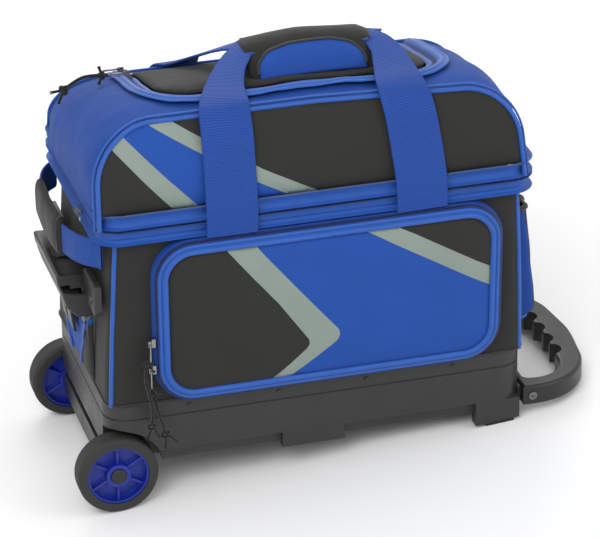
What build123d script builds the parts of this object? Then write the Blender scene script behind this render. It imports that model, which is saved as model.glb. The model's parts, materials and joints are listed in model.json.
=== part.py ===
"""Wheeled two-ball bowling bag: moulded base on two wheels, fabric ball compartment,
hinged upper shoe compartment, front and side pockets, webbing carry handle, telescopic
handle and a moulded pull loop.

The bag is drawn square to its own base (X along the length, -Y the pocket side, Z up,
Z = 0 at the base's lower rim) and is then set down on its wheels and feet, which tilts it.
All lengths are millimetres."""
from build123d import *
import os
from math import atan2, degrees, hypot, radians, tan

# ---- driving dimensions ------------------------------------------------------------
TILT = 4.9                      # degrees the base leans down towards the pull loop

BASE_X0, BASE_X1 = -242.0, 233.0
BASE_Y = 124.3                  # half width of the moulded base
BASE_TOP = 76.0
BASE_CORNER = 28.0
BASE_WALL = 4.0
RIM_SET_BACK = 7.8
RIM_HEIGHT = 14.7
SEAM_Z = 58.4

WHEEL_X, WHEEL_Z = -232.2, -6.1
WHEEL_R = 45.0
WHEEL_RIM_R = 34.3
WHEEL_Y0, WHEEL_Y1 = 102.8, 128.3
WELL_R = 52.0
AXLE_R = 5.0
BUSH_R = 8.0
BUSH_LENGTH = 24.0
FOOT_PAD = 4.0                  # thickness of the rubber feet
RUNNING = 0.05                  # radial clearance of a wheel on its axle

PULL_ROOT_X1 = 256.0            # end of the lugs that the pull loop is screwed to
PULL_SCREW_X, PULL_SCREW_Z = 245.0, 14.0
PULL_EDGE = 4.0                 # rounding of the pull loop's long edges

BALL_R = 109.2
BALL_X_LEFT, BALL_X_RIGHT = -106.5, 118.0
BALL_Z = BASE_WALL + 9 + BALL_R

BODY_X0, BODY_X1 = -240.0, 232.0
BODY_Y = 125.0
BODY_TOP = 288.5
BODY_WALL = 6.0

LID_SPLIT = 290.5               # height of the main zipper
LID_FLOOR_Z = 306.0
LID_X0, LID_X1 = -247.0, 238.0
LID_Y = 129.0
LID_WALL = 5.0
CREST_Y, CREST_Z = -50.0, 408.0         # the top's highest line, near the front
LID_BACK_Y, LID_BACK_Z = 109.0, 368.0   # the top's rear edge

FLAP_X0, FLAP_X1 = -158.0, 152.0
FLAP_Y0, FLAP_Y1 = -60.0, 88.0

POCKET_X0, POCKET_X1 = -189.0, 203.0
POCKET_Z0, POCKET_Z1 = 79.0, 271.0
POCKET_Y0, POCKET_Y1 = -144.5, -126.6
POCKET_CORNER = 44.0

TUBE_Y = 50.0
TUBE_LEAN = 7.0                 # degrees the telescopic handle leans away from the bag
TUBE_FOOT_X, TUBE_FOOT_Z = -225.4, 19.4

WEB = 3.0                       # webbing thickness
WEB_WIDTH = 57.0

NODES = {}


# ---- helpers -----------------------------------------------------------------------
def block(x0, x1, y0, y1, z0, z1):
    """A plain box between two corners."""
    return Pos((x0 + x1) / 2, (y0 + y1) / 2, (z0 + z1) / 2) * Box(x1 - x0, y1 - y0, z1 - z0)


def slab(x0, x1, half_y, z0, z1, corner):
    """An upright box, centred in Y, with rounded vertical corners."""
    plan = RectangleRounded(x1 - x0, 2 * half_y, corner)
    return Pos((x0 + x1) / 2, 0, z0) * extrude(plan, z1 - z0)


def outline(points, radii):
    """A closed flat face through the points, each corner rounded by its radius."""
    return make_face(FilletPolyline(*points, radius=radii, close=True))


def along_y(points, radii, y0, y1):
    """Extrude an outline of (x, z) points from y0 to y1."""
    face = Plane.XZ * outline(points, radii)
    return Pos(0, y0, 0) * extrude(face, -(y1 - y0))


def along_x(points, radii, x0, x1):
    """Extrude an outline of (y, z) points from x0 to x1."""
    face = Plane.YZ * outline(points, radii)
    return Pos(x0, 0, 0) * extrude(face, x1 - x0)


def rod_y(x, z, radius, y0, y1):
    """A cylinder along Y."""
    return Pos(x, (y0 + y1) / 2, z) * Rot(90, 0, 0) * Cylinder(radius, y1 - y0)


def both_sides(shape):
    """The shape and its mirror image across the bag's centre plane."""
    return shape + mirror(shape, Plane.XZ)


def above_ground(gap):
    """Everything more than gap above the ground, in the bag's own axes."""
    reach = hypot(WHEEL_X, WHEEL_Z)
    ground = Pos(WHEEL_X, 0, WHEEL_Z) * Rot(0, -TILT, 0)
    return ground * Pos(reach, 0, -WHEEL_R + gap + 500) * Box(2000, 1000, 1000)


def leaned(shape):
    """Lean a shape built around the telescopic handle's upright centre line."""
    return Pos(TUBE_FOOT_X, 0, TUBE_FOOT_Z) * Rot(0, -TUBE_LEAN, 0) * shape


def tube_passage(clear):
    """The space swept by both leaned telescopic tubes."""
    return leaned(both_sides(Pos(0, -TUBE_Y, 100) * Box(14 + 2 * clear, 22 + 2 * clear, 240)))


# ---- moulded base ------------------------------------------------------------------
def base_outer():
    """The base without its hollow: a body over a set-back lower rim."""
    upper = slab(BASE_X0, BASE_X1, BASE_Y, RIM_HEIGHT, BASE_TOP, BASE_CORNER)
    upper = fillet(upper.faces().sort_by(Axis.Z)[0].edges(), 3)
    upper = fillet(upper.faces().sort_by(Axis.Z)[-1].edges(), 1.5)
    rim_y = BASE_Y - RIM_SET_BACK
    lower = slab(BASE_X0 + RIM_SET_BACK, BASE_X1 - RIM_SET_BACK, rim_y, 0, RIM_HEIGHT + 4, 22)
    lower = fillet(lower.faces().sort_by(Axis.Z)[0].edges(), 3)
    return upper + lower


def seam_groove():
    """A shallow groove all round the base, at its seam."""
    grown = slab(BASE_X0 - 5, BASE_X1 + 5, BASE_Y + 5, SEAM_Z - 1, SEAM_Z + 1, BASE_CORNER + 5)
    return grown - slab(BASE_X0 + 1.2, BASE_X1 - 1.2, BASE_Y - 1.2, SEAM_Z - 2, SEAM_Z + 2, 27)


RIVET_X = (-150, -50, 50, 150)
RIVET_Z = 68.0


def rivets(radius):
    """Rivets along Y that hold the fabric skirt inside the base's collar."""
    one_side = [rod_y(x, RIVET_Z, radius, -BASE_Y - 1, -BASE_Y + 9) for x in RIVET_X]
    return both_sides(Part() + one_side)


def base_tub():
    """The open-topped base with wheel wells, feet, side skids and the axle beam."""
    upper_hollow = slab(BASE_X0 + BASE_WALL, BASE_X1 - BASE_WALL, BASE_Y - BASE_WALL,
                        RIM_HEIGHT + BASE_WALL, BASE_TOP + 1, BASE_CORNER - BASE_WALL)
    inset = RIM_SET_BACK + BASE_WALL
    lower_hollow = slab(BASE_X0 + inset, BASE_X1 - inset, BASE_Y - inset,
                        BASE_WALL, RIM_HEIGHT + BASE_WALL + 1, 18)
    outer = base_outer()
    tub = outer - upper_hollow - lower_hollow - seam_groove()
    well_y = WHEEL_Y0 - 3.8
    well_wall = rod_y(WHEEL_X, WHEEL_Z, WELL_R + 3, -BASE_Y, -well_y + 3) & outer
    tub += both_sides(well_wall)
    tub -= both_sides(rod_y(WHEEL_X, WHEEL_Z, WELL_R, -BASE_Y - 10, -well_y))
    tub += both_sides(block(-46, 25, -BASE_Y, -BASE_Y + 12, -2, RIM_HEIGHT + 2))
    foot = block(177, 228, -BASE_Y, -BASE_Y + 14, -20, RIM_HEIGHT + 2)
    tub += both_sides(foot & above_ground(FOOT_PAD))
    tub += block(BASE_X0 + 0.5, WHEEL_X + 13, -well_y + 0.5, well_y - 0.5, -18, 6)
    tub += both_sides(block(BASE_X1 - 3, PULL_ROOT_X1, -111, -98, 5, 23))
    tub -= rod_y(WHEEL_X, WHEEL_Z, AXLE_R + RUNNING, -well_y - 1, well_y + 1)
    tub -= both_sides(rod_y(WHEEL_X, WHEEL_Z, BUSH_R, -well_y - 1, -well_y + BUSH_LENGTH))
    tub -= both_sides(rod_y(PULL_SCREW_X, PULL_SCREW_Z, 2.0, -125, -97))
    tub -= tube_passage(0.4) & block(-260, -200, -80, 80, 43, 90)
    return tub - rivets(2.5)


# ---- wheels and axle ---------------------------------------------------------------
def add_wheels():
    """Axle, bushes, tyres, spoked rims and hub caps."""
    well_y = WHEEL_Y0 - 3.8
    NODES["wheel_axle"] = rod_y(WHEEL_X, WHEEL_Z, AXLE_R, -124.0, 124.0)
    bush = rod_y(WHEEL_X, WHEEL_Z, BUSH_R, -well_y - 1.5, -well_y + BUSH_LENGTH)
    bush -= rod_y(WHEEL_X, WHEEL_Z, AXLE_R + RUNNING, -well_y - 3, -well_y + BUSH_LENGTH + 1)
    NODES["axle_bushes"] = both_sides(bush)
    middle = -(WHEEL_Y0 + WHEEL_Y1) / 2
    width = WHEEL_Y1 - WHEEL_Y0
    tyre = Cylinder(WHEEL_R, width) - Cylinder(WHEEL_RIM_R, width + 2)
    tyre = fillet(tyre.edges().filter_by(GeomType.CIRCLE).group_by(lambda e: e.radius)[-1], 4.5)
    rim = Cylinder(WHEEL_RIM_R, 22) - Cylinder(WHEEL_RIM_R - 2.6, 24)
    rim += Cylinder(WHEEL_RIM_R - 1, 3)
    rim += Cylinder(13.5, 24)
    for turn in range(6):
        spoke = Pos(21, 0, 0) * Box(22, 3, 14)
        rim += Rot(0, 0, 30 + 60 * turn) * spoke
    rim -= Cylinder(AXLE_R + RUNNING, 40)
    rim -= Pos(0, 0, 12) * Cylinder(9, 4)
    cap = Pos(0, 0, 12.2) * Cylinder(8.8, 4)
    cap = fillet(cap.faces().sort_by(Axis.Z)[-1].edges(), 1.5)
    outward = Pos(WHEEL_X, middle, WHEEL_Z) * Rot(90, 0, 0)
    for name, shape in (("tyre", tyre), ("rim", rim), ("hub_cap", cap)):
        front = outward * shape
        NODES[name + "_front"] = front
        NODES[name + "_rear"] = mirror(front, Plane.XZ)


# ---- base fittings -----------------------------------------------------------------
def add_base_fittings():
    """Rubber feet, rivets, pull loop and its screws."""
    pad = block(190, 222, -BASE_Y + 1.5, -BASE_Y + 12.5, -30, RIM_HEIGHT)
    pad = (pad & above_ground(0)) - above_ground(FOOT_PAD)
    NODES["rubber_feet"] = both_sides(pad)
    NODES["skirt_rivets"] = rivets(2.5) & slab(BASE_X0, BASE_X1, BASE_Y + 0.9, 60, 74, 28)
    outer = outline(((233.5, -121), (316, -121), (331, 0), (316, 121), (233.5, 121)),
                    (0, 74, 150, 74, 0))
    hole = outline(((242, -97), (290, -105), (299, 0), (290, 105), (242, 97)),
                   (8, 36, 150, 36, 8))
    loop = Pos(0, 0, 2) * extrude(outer, 24)
    loop = fillet(loop.faces().sort_by(Axis.Z)[-1].edges(), PULL_EDGE)
    loop = fillet(loop.faces().sort_by(Axis.Z)[0].edges(), PULL_EDGE)
    loop -= Pos(0, 0, -1) * extrude(hole, 40)
    for rim in (loop.faces().sort_by(Axis.Z)[0], loop.faces().sort_by(Axis.Z)[-1]):
        loop = fillet(rim.inner_wires()[0].edges(), PULL_EDGE)
    loop -= block(232, PULL_ROOT_X1 + 0.5, -111.2, 111.2, -1, 23.4)
    for y in (-42, -14, 14, 42):
        loop -= Pos(293.5, y, 13) * Cylinder(12, 40)
    loop -= both_sides(rod_y(PULL_SCREW_X, PULL_SCREW_Z, 2.0, -125, -97))
    loop -= both_sides(rod_y(PULL_SCREW_X, PULL_SCREW_Z, 5.0, -125, -119))
    NODES["pull_loop"] = loop
    screw = rod_y(PULL_SCREW_X, PULL_SCREW_Z, 4.8, -121.8, -119)
    screw += rod_y(PULL_SCREW_X, PULL_SCREW_Z, 2.0, -120, -99)
    screw -= Pos(PULL_SCREW_X, -121.8, PULL_SCREW_Z) * Box(1.2, 2, 6)
    screw -= Pos(PULL_SCREW_X, -121.8, PULL_SCREW_Z) * Box(6, 2, 1.2)
    NODES["pull_loop_screws"] = both_sides(screw)


# ---- ball compartment --------------------------------------------------------------
def body_form(inset, z0, z1):
    """The lower fabric body, slightly narrower at the top, inset by a wall."""
    def section(z):
        rise = (z - BASE_TOP) / (BODY_TOP - BASE_TOP)
        x0 = BODY_X0 + 4 * rise + inset
        x1 = BODY_X1 - 6 * rise - inset
        plan = RectangleRounded(x1 - x0, 2 * (BODY_Y - inset), 27 - inset)
        return Pos((x0 + x1) / 2, 0, z) * plan
    return loft([section(z0), section(z1)])


def add_ball_compartment():
    """Fabric walls, zipper rims, foam cradles and the divider."""
    walls = body_form(0, BASE_TOP + 0.3, BODY_TOP) - body_form(BODY_WALL, BASE_TOP - 5, BODY_TOP + 5)
    inset = BASE_WALL + 0.3
    skirt = slab(BASE_X0 + inset, BASE_X1 - inset, BASE_Y - inset, 62, BASE_TOP + 3, 23)
    skirt -= slab(BASE_X0 + inset + 3, BASE_X1 - inset - 3, BASE_Y - inset - 3, 60, BASE_TOP + 5, 20)
    walls += skirt
    walls -= tube_passage(1.2)
    NODES["ball_compartment"] = walls - rivets(2.5)
    band = slab(-246, 236, 130, 276, BODY_TOP, 30) - body_form(0, 270, 295)
    NODES["body_zipper_rim"] = band
    for name, centre in (("foam_cradle_left", BALL_X_LEFT), ("foam_cradle_right", BALL_X_RIGHT)):
        foam = block(centre - 101, centre + 101, -94, 94, BASE_WALL + 0.3, 46)
        foam -= Pos(centre, 0, BALL_Z) * Sphere(BALL_R + 0.5)
        NODES[name] = foam
    half_width = BODY_Y - BODY_WALL - 1.5
    NODES["ball_divider"] = block(3.5, 8.5, -half_width, half_width, BASE_TOP + 4, 240)


# ---- upper compartment -------------------------------------------------------------
def lid_form(inset):
    """The upper compartment: a D-shaped front, leaning front and back, crowned top."""
    z0 = LID_SPLIT + 1 if inset == 0 else LID_SPLIT - 1
    front = along_y(((LID_X0 + inset, z0), (LID_X0 + inset, 403 - inset), (0, 408 - inset),
                     (LID_X1 - inset, 400 - inset), (LID_X1 - inset, z0)),
                    (0, 66 - inset, 0, 62 - inset, 0), -200, 200)
    side = along_x(((-LID_Y + inset, z0), (-109 + inset, 404 - inset), (CREST_Y, CREST_Z - inset),
                    (LID_BACK_Y - inset, LID_BACK_Z - inset), (LID_Y - inset, z0)),
                   (0, 16, 60, 16, 0), -300, 300)
    plan = slab(LID_X0 + inset, LID_X1 - inset, LID_Y - inset, z0, 450, 34 - inset)
    return front & side & plan


def add_lid():
    """Lid walls, floor board, zipper rim and the top flap."""
    z0 = LID_SPLIT + 1
    skin = lid_form(0) - lid_form(LID_WALL)
    cut = block(FLAP_X0, FLAP_X1, FLAP_Y0, FLAP_Y1, 345, 420)
    NODES["lid_shell"] = skin - cut
    flap_cut = block(FLAP_X0 + 0.8, FLAP_X1 - 0.8, FLAP_Y0 + 0.8, FLAP_Y1 - 0.8, 345, 420)
    NODES["top_flap"] = skin & flap_cut
    rim = slab(-250, 240, 130.5, z0, 305, 32) - slab(LID_X0, LID_X1, LID_Y, z0 - 1, 306, 34)
    NODES["lid_zipper_rim"] = rim
    board = lid_form(LID_WALL + 0.3)
    board &= block(-300, 300, -200, 200, LID_FLOOR_Z, LID_FLOOR_Z + 4)
    NODES["lid_floor_board"] = board


# ---- pockets -----------------------------------------------------------------------
def pocket_face(inset):
    """The front pocket's outline, inset all round."""
    return ((POCKET_X0 + inset, POCKET_Z0 + inset), (POCKET_X0 + inset, POCKET_Z1 - inset),
            (POCKET_X1 - inset, POCKET_Z1 - inset), (POCKET_X1 - inset - 3, POCKET_Z0 + inset))


def add_pockets():
    """Front pocket gusset and panel, and the open side pocket."""
    corner = POCKET_CORNER
    gusset = along_y(pocket_face(0), [corner] * 4, POCKET_Y0 + 6, POCKET_Y1 + 1.0)
    gusset -= along_y(pocket_face(4), [corner - 4] * 4, POCKET_Y0, POCKET_Y1 + 5)
    gusset -= block(-220, 230, -BODY_Y - 0.4, -100, 60, 290)
    NODES["pocket_gusset"] = gusset
    panel = along_y(pocket_face(0.5), [corner] * 4, POCKET_Y0, POCKET_Y0 + 5.2)
    NODES["pocket_panel"] = panel
    shell = along_y(((232.6, 96), (231.2, 226), (247, 226), (264, 214), (266, 106), (256, 96)),
                    (0, 0, 6, 10, 12, 8), -88, 88)
    inner = along_y(((235.6, 99), (234.2, 240), (244.4, 240), (261, 212), (263, 108), (254, 99)),
                    (0, 0, 6, 8, 9, 6), -85, 85)
    NODES["side_pocket"] = shell - inner


# ---- telescopic handle -------------------------------------------------------------
def tube_pair(size_x, size_y, wall, z0, z1):
    """Two rectangular tubes, one each side, open at both ends."""
    tube = Box(size_x, size_y, z1 - z0) - Box(size_x - 2 * wall, size_y - 2 * wall, z1 - z0 + 2)
    return leaned(both_sides(Pos(0, -TUBE_Y, (z0 + z1) / 2) * tube))


def add_telescopic_handle():
    """Four nested tube stages, foot blocks, bracket, cover, grip and release button."""
    NODES["outer_tubes"] = tube_pair(14, 22, 0.9, 0, 160)
    NODES["lower_stage_tubes"] = tube_pair(11.6, 19.6, 0.9, 2, 164)
    NODES["middle_stage_tubes"] = tube_pair(9.2, 17.2, 0.9, 4, 168)
    NODES["upper_stage_tubes"] = tube_pair(6.8, 14.8, 0.9, 6, 188)
    feet = both_sides(block(-237.8, -215, -66, -34, RIM_HEIGHT + 4.2, 42))
    NODES["tube_feet"] = feet - leaned(both_sides(Pos(0, -TUBE_Y, 50) * Box(14.04, 22.04, 100.04)))
    cup = along_y(((-243, 160), (-243, 186), (-274, 192), (-268, 172), (-256, 160)),
                  (0, 0, 2, 4, 3), -64, 64)
    cup = fillet(cup.faces().sort_by(Axis.Y)[0].edges() + cup.faces().sort_by(Axis.Y)[-1].edges(), 2.5)
    ear = block(-249, -240.6, -114, -60, 184, 219)
    ear = fillet(ear.edges().filter_by(Axis.X), 6)
    ears = both_sides(fillet(ear.faces().sort_by(Axis.X)[0].edges(), 2))
    ears += block(-249, -240.6, -64, 64, 160, 191)
    tab = along_y(((-247, 124), (-243, 162), (-259, 162), (-254, 124)), (0, 0, 2, 3), -26, 26)
    tab -= block(-300, -230, -4, 4, 131, 143)
    bracket = cup + ears
    bracket -= tube_passage(0.3)
    NODES["handle_bracket"] = bracket & block(-300, -240.6, -120, 120, 100, 230)
    cover = along_y(((-242.6, 78), (-241, 159), (-254, 159), (-246.3, 78)), (0, 0, 0, 0), -66, 66)
    cover -= leaned(block(-8.2, 8.2, -63, 63, 0, 200))
    NODES["handle_cover"] = (cover & block(-300, -240.8, -70, 70, 70, 170))
    cover_space = along_y(((-242, 70), (-240, 163), (-255, 163), (-245.3, 70)),
                          (0, 0, 0, 0), -66.5, 66.5)
    NODES["bracket_tab"] = tab - cover_space - block(-300, -230, -40, 40, 159.6, 200)
    screws = both_sides(Pos(-249, -100, 200) * Rot(0, 90, 0) * Cylinder(4, 3))
    screws += both_sides(Pos(-244.5, -100, 200) * Rot(0, 90, 0) * Cylinder(1.9, 7.4))
    NODES["bracket_screws"] = screws
    NODES["handle_bracket"] -= both_sides(Pos(-244.5, -100, 200) * Rot(0, 90, 0) * Cylinder(1.9, 9))
    NODES["handle_bracket"] -= both_sides(Pos(-249, -100, 200) * Rot(0, 90, 0) * Cylinder(4, 3))
    grip = along_y(((-243, 197), (-243, 210), (-278, 211), (-276, 197)), (1, 2, 3, 3), -59, 59)
    grip = fillet(grip.faces().sort_by(Axis.Y)[0].edges() + grip.faces().sort_by(Axis.Y)[-1].edges(), 2)
    grip += block(-263, -243, -59, 59, 193.5, 199)
    button_hole = Pos(-260, 0, 212) * slab(-11, 11, 16, -9, 9, 6)
    grip -= leaned(both_sides(Pos(0, -TUBE_Y, 94.05) * Box(6.8, 14.8, 188.1)))
    NODES["telescope_grip"] = grip - button_hole
    button = Pos(-260, 0, 204.2) * slab(-10.6, 10.6, 15.6, 0, 8.3, 5.6)
    NODES["release_button"] = button


# ---- webbing -----------------------------------------------------------------------
def ribbon(stations, thickness):
    """Webbing as flat runs: each station is a centre point, and each run is one plate."""
    plates = []
    for (xa, ya, za, wa), (xb, yb, zb, wb) in zip(stations, stations[1:]):
        start, end = Vector(0, ya, za), Vector(0, yb, zb)
        along = end - start
        frame_at = Plane(origin=start, x_dir=(1, 0, 0), z_dir=along)
        run = along.length
        low = frame_at * Pos(xa, 0, 0) * Rectangle(wa, thickness)
        high = frame_at * Pos(xb, 0, run) * Rectangle(wb, thickness)
        plates.append(loft([low, high], ruled=True))
        if (xb, yb, zb, wb) != stations[-1]:
            joint = Pos(xb, yb, zb) * Rot(0, 90, 0) * Cylinder(thickness / 2, wb)
            plates.append(joint)
    return Part() + plates


LEG_LEFT_X = -101.0
LEG_RIGHT_X = 110.0
STRAP_Y, STRAP_Z = 132.6, 272.6
STRAP_TOP = 426.0
FRONT_SHOULDER, REAR_SHOULDER = (116.5, 402.0), (115.5, 374.0)


def strap_leg(side, foot_x, shoulder_x, top_x, shoulder):
    """One leg of a carry strap from its stitched foot, over a shoulder, to the wrap on top."""
    return ribbon(((foot_x, side * STRAP_Y, STRAP_Z, WEB_WIDTH),
                   (foot_x, side * STRAP_Y, 308, WEB_WIDTH),
                   (shoulder_x, side * shoulder[0], shoulder[1], WEB_WIDTH - 4),
                   (top_x, side * 14, STRAP_TOP, 32)), WEB)


def add_carry_straps():
    """Front and rear webbing loops and the padded wrap that joins them."""
    for name, side, shoulder in (("front_strap", -1, FRONT_SHOULDER), ("rear_strap", 1, REAR_SHOULDER)):
        strap = strap_leg(side, LEG_LEFT_X, LEG_LEFT_X, -72, shoulder)
        strap += strap_leg(side, LEG_RIGHT_X, LEG_RIGHT_X - 14, 108, shoulder)
        y0, y1 = sorted((side * 4, side * 15))
        strap += block(-88, 124, y0, y1, STRAP_TOP - WEB / 2, STRAP_TOP + WEB / 2)
        NODES[name] = strap
    wrap = along_x(((-24, 412), (-28, 424), (-17, 436), (17, 436), (28, 424), (24, 412)),
                   (4, 6, 10, 10, 6, 4), -52, 88)
    wrap -= along_x(((-20, 416), (-24, 424), (-15, 432), (15, 432), (24, 424), (20, 416)),
                    (4, 5, 8, 8, 5, 4), -60, 100)
    NODES["handle_wrap"] = wrap


def add_end_loop():
    """Webbing grab loop on the wheel end, with its padded wrap."""
    path = ((-239, -112), (-241, -104), (-252, -96), (-268, -58), (-271, 0),
            (-268, 58), (-252, 96), (-241, 104), (-239, 112))
    outer = [(x - WEB / 2, y) for x, y in path]
    inner = [(x + WEB / 2, y) for x, y in reversed(path)]
    loop = make_face(Polyline(*outer, *inner, close=True))
    NODES["end_loop"] = Pos(0, 0, 238) * extrude(loop, 34)
    pad_out = [(x - 5.5, y) for x, y in path[3:6]]
    pad_in = [(x + 5.5, y) for x, y in reversed(path[3:6])]
    pad = Pos(0, 0, 233) * extrude(make_face(Polyline(*pad_out, *pad_in, close=True)), 44)
    slot = [(x - WEB / 2, y) for x, y in path[2:7]]
    slot += [(x + WEB / 2, y) for x, y in reversed(path[2:7])]
    pad -= Pos(0, 0, 238) * extrude(make_face(Polyline(*slot, close=True)), 34)
    NODES["end_loop_wrap"] = pad


# ---- zipper sliders, pull tabs and cord pulls --------------------------------------
SLIDER = (7.0, 11.0, 4.0)       # width, length and height of a slider
TAB = (5.0, 20.0, 1.4)          # width, length and thickness of a pull tab
CORD_D = 3.0


def slider():
    """A zipper slider lying flat, nose along +X, with a bail for its tab at the nose."""
    width, length, height = SLIDER
    body = Pos(0, 0, height / 2) * Box(length, width, height)
    body = fillet(body.edges().filter_by(Axis.Z), 1.8)
    bail = Pos(1.5, 0, height + 1.6) * Box(7, 1.6, 3.4)
    return body + bail - Pos(3.0, 0, height + 1.5) * Rot(90, 0, 0) * Cylinder(1.05, 5)


def pull_tab():
    """A pull tab hanging along +X from its pin, which turns in the slider's bail."""
    width, length, thick = TAB
    cheek = Pos(length / 2 - 1, 0, 0) * Box(length, width, thick)
    cheek -= Pos(1.2, 0, 0) * Box(6.6, 2.0, thick + 1)
    cheek -= Pos(length - 4.5, 0, 0) * Cylinder(1.9, thick + 1)
    pin = Rot(90, 0, 0) * Cylinder(1.0, width)
    return cheek + pin


def add_zipper_pull(name, where):
    """One slider with its tab; where places the slider's flat underside."""
    NODES[name + "_slider"] = where * slider()
    NODES[name + "_tab"] = where * Pos(3.0, 0, SLIDER[2] + 1.5) * pull_tab()


def cord(name, points):
    """A cord pull: a tube of straight runs joined by tangent arcs."""
    radii = []
    for before, here, after in zip(points, points[1:], points[2:]):
        run_in = Vector(here) - Vector(before)
        run_out = Vector(after) - Vector(here)
        turn = radians(run_in.get_angle(run_out))
        radii.append(0.45 * min(run_in.length, run_out.length) / tan(turn / 2))
    path = FilletPolyline(*points, radius=radii)
    start = Plane(origin=path @ 0, z_dir=path % 0)
    tube = sweep(start * Circle(CORD_D / 2), path=path)
    section = Circle(CORD_D / 2).area * path.length
    print(name, "length", round(path.length, 1), "radii", [round(r, 1) for r in radii],
          "volume ratio", round(tube.volume / section, 4))
    NODES[name] = tube


POCKET_PULL_X = POCKET_X0 - 0.4
POCKET_PULL_Y = POCKET_Y0 + 8.0
DOWN_ON_LEFT = Rot(0, -90, 0) * Rot(0, 0, 180)
POCKET_PULLS = {"pocket_upper": 156.0, "pocket_lower": 124.0}
TOP_PULLS = {"top_front": 52.0, "top_rear": 80.0}
TOP_PULL_X = -166.0
TOP_SLOPE = degrees(atan2(CREST_Z - LID_BACK_Z, LID_BACK_Y - CREST_Y))


def on_top(y):
    """A place just above the top's slope, square to it."""
    z = CREST_Z - (y - CREST_Y) * tan(radians(TOP_SLOPE))
    return Pos(TOP_PULL_X, y, z + 0.5) * Rot(-TOP_SLOPE, 0, 0)


LID_PULL = Plane(origin=(-250.4, -68, 291), x_dir=(0, -1, 0), z_dir=(-1, 0, 0)).location

CORD_ROUTES = {
    "pocket_upper_cord": ((-194.9, -136.5, 132.9), (-197.2, -136.9, 129.9), (-201.2, -138.2, 124.0),
                          (-201.8, -141.0, 112.0), (-199.0, -144.8, 96.0), (-196.2, -146.6, 79.0),
                          (-197.4, -147.8, 64.0)),
    "pocket_lower_cord": ((-194.9, -136.5, 101.1), (-193.6, -139.0, 94.0), (-191.4, -143.6, 83.0),
                          (-188.6, -147.6, 68.0), (-184.2, -149.0, 53.0)),
    "top_front_cord": ((-188.2, 53.3, 388.2), (-195.2, 53.1, 388.7), (-207.0, 52.2, 390.4),
                       (-222.0, 49.2, 390.2), (-237.0, 44.5, 382.5)),
}


def add_zipper_pulls():
    """All sliders, tabs and cord pulls."""
    for name, z in POCKET_PULLS.items():
        add_zipper_pull(name, Pos(POCKET_PULL_X, POCKET_PULL_Y, z) * DOWN_ON_LEFT)
    for name, y in TOP_PULLS.items():
        add_zipper_pull(name, on_top(y) * Rot(0, 0, 180))
    add_zipper_pull("lid", LID_PULL)
    for name, points in CORD_ROUTES.items():
        cord(name, points)


# ---- assembly ----------------------------------------------------------------------
NODES["base_tub"] = base_tub()
add_wheels()
add_base_fittings()
add_ball_compartment()
add_lid()
add_pockets()
add_telescopic_handle()
add_carry_straps()
add_end_loop()
add_zipper_pulls()

CORD_NODES = list(CORD_ROUTES)
set_down = Rot(0, TILT, 0)
standing = {name: set_down * shape for name, shape in NODES.items()}
solid_box = Compound(children=[s for n, s in standing.items() if n not in CORD_NODES]).bounding_box()
PLACE = Pos(-solid_box.center().X, -solid_box.center().Y, -solid_box.min.Z) * set_down

if __name__ == "__main__":
    os.makedirs("parts", exist_ok=True)
    for name, shape in NODES.items():
        export_step(PLACE * shape, f"parts/{name}.step")
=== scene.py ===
"""The looks of the wheeled two-ball bowling bag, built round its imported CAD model.

Shapes are worked out in the bag's own axes, in millimetres: X along the length, -Y the
pocket side, Z up and square to the moulded base. BAG carries them into the row frame."""
import json
import math
import bmesh
import bpy
import numpy as np
from mathutils import Matrix, Vector, noise
from mathutils.geometry import delaunay_2d_cdt


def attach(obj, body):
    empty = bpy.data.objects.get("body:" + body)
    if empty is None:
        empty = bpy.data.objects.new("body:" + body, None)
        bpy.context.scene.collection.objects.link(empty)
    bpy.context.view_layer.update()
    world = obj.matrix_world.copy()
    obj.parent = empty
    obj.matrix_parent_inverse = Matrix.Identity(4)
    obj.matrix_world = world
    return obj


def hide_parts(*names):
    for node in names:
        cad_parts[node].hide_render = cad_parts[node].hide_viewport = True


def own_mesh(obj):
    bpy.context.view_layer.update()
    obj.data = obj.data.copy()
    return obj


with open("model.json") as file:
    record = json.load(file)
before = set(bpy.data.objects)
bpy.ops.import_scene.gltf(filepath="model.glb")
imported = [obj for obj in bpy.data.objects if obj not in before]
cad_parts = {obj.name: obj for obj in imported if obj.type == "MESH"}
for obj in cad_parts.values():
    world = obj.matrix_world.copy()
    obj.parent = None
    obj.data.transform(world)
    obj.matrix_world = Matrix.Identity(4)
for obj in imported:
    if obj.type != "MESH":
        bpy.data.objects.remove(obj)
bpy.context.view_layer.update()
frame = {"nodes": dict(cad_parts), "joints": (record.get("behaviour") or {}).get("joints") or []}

# ---- the bag's axes ------------------------------------------------------------------
HINGE = next(j for j in frame["joints"] if j["name"] == "lid_open")
TILT = math.atan2(HINGE["axis"][2], -HINGE["axis"][0])
TURN = Matrix.Rotation(TILT, 4, "Y")
PER_METRE = 1000
HINGE_AT = Vector((0, 131.5, 290.5)) / PER_METRE
SHIFT = Matrix.Translation(Vector(HINGE["pos_m"]) - TURN @ HINGE_AT)
BAG = SHIFT @ TURN @ Matrix.Scale(1 / PER_METRE, 4)
MIDDLE = Vector((0, 0, 190))


def linked(name, data):
    """A new object in the scene."""
    obj = bpy.data.objects.new(name, data)
    bpy.context.scene.collection.objects.link(obj)
    return obj


# ---- camera --------------------------------------------------------------------------
VIEW_ANGLES = (-15.57, 26.585, -0.7386)   # turn, rise and roll in degrees
VIEW_TARGET = (10.61, -0.09, 149.61)
VIEW_DISTANCE = 4200.0
VIEW_SCALE = 0.89833                      # of the picture's width units to a millimetre
PICTURE_WIDTH = 600
SENSOR_WIDTH = 36


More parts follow.
